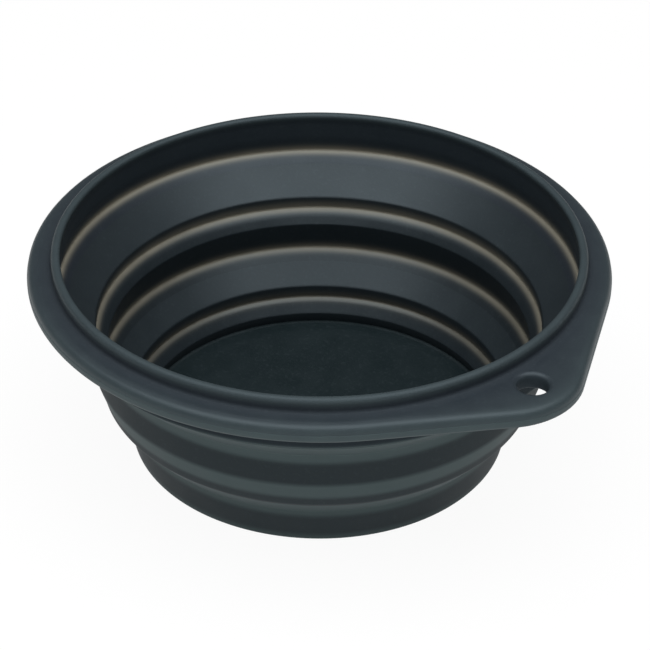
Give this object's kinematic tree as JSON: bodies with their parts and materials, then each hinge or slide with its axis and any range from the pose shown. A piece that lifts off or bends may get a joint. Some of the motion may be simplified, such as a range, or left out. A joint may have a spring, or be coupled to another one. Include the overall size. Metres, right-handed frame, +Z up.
{
  "type": "collapsible silicone pet bowl",
  "caption": "Round folding silicone travel bowl for a pet, with stiff rings, thin fold webs that turn inside out, and a rim flange with a hanging tab and hole.",
  "frame": {"origin": "centre of the flat underside that the bowl stands on", "axes": "+Z up along the bowl's axis, +X towards the hanging tab"},
  "size_m": [0.1928, 0.18, 0.069],
  "materials": {
    "rim": "matt dark grey silicone",
    "wall": "matt dark grey silicone",
    "fold_web": "matt dark grey silicone, paler along the fold lines",
    "floor": "matt dark grey silicone"
  },
  "bodies": {
    "base": {"floor_disc": "floor", "base_ring_band": "wall", "base_ring_neck": "wall"},
    "middle_ring": {"middle_ring_band": "wall", "middle_ring_neck": "wall", "lower_fold_web": "fold_web"},
    "rim": {"rim_lip": "rim", "rim_collar": "wall", "rim_flange": "rim", "upper_fold_web": "fold_web"}
  },
  "joints": [
    {"name": "lower_fold", "type": "slide", "parent": "base", "child": "middle_ring", "axis": [0, 0, 1], "range_m": [-0.018, 0], "deforming": ["lower_fold_web"]},
    {"name": "upper_fold", "type": "slide", "parent": "middle_ring", "child": "rim", "axis": [0, 0, 1], "range_m": [-0.022, 0], "deforming": ["upper_fold_web"]}
  ]
}
